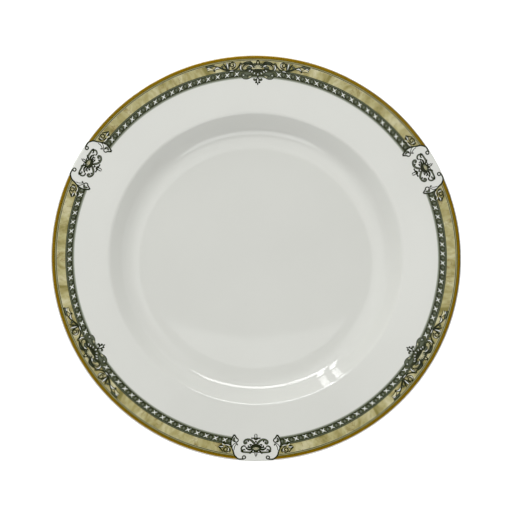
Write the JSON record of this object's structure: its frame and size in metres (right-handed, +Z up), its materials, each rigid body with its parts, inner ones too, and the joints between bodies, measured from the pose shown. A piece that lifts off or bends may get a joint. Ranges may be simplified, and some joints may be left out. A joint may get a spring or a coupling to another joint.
{
  "type": "china dinner plate",
  "caption": "Round porcelain dinner plate with a flat well, a gently rising rim, a foot ring and a printed and gilded classical border in repeating panels.",
  "frame": {"origin": "centre of the foot ring, on the plane it stands on", "axes": "+Z up out of the well; +Y from the centre to the middle of one of the border's acanthus sprays; a palmette lies on -Y"},
  "size_m": [0.27, 0.27, 0.0233],
  "materials": {
    "porcelain": "bare fired porcelain, matt, on the foot ring",
    "glaze": "clear gloss glaze over white china, faintly green-grey",
    "gilt": "burnished gold line, slightly satin",
    "key_lines": "olive enamel between dark green lines, fired gloss",
    "marble": "sage marbled enamel with brown veins, fired gloss",
    "star_ground": "dark sage enamel with white stars, fired gloss",
    "green_ink": "dark green enamel line work, fired gloss"
  },
  "bodies": {
    "root": {"porcelain_body": "porcelain", "face_glaze": "glaze", "foot_recess_glaze": "glaze", "gilt_line_back": "gilt", "key_lines_back": "key_lines", "marble_band_back": "marble", "star_band_back": "star_ground", "acanthus_spray_back": "green_ink", "scroll_end_back_ccw": "green_ink", "scroll_end_back_cw": "green_ink", "gilt_line_front_left": "gilt", "key_lines_front_left": "key_lines", "marble_band_front_left": "marble", "star_band_front_left": "star_ground", "acanthus_spray_front_left": "green_ink", "scroll_end_front_left_ccw": "green_ink", "scroll_end_front_left_cw": "green_ink", "gilt_line_front_right": "gilt", "key_lines_front_right": "key_lines", "marble_band_front_right": "marble", "star_band_front_right": "star_ground", "acanthus_spray_front_right": "green_ink", "scroll_end_front_right_ccw": "green_ink", "scroll_end_front_right_cw": "green_ink", "palmette_back_right": "green_ink", "palmette_back_left": "green_ink", "palmette_front": "green_ink"}
  },
  "joints": []
}
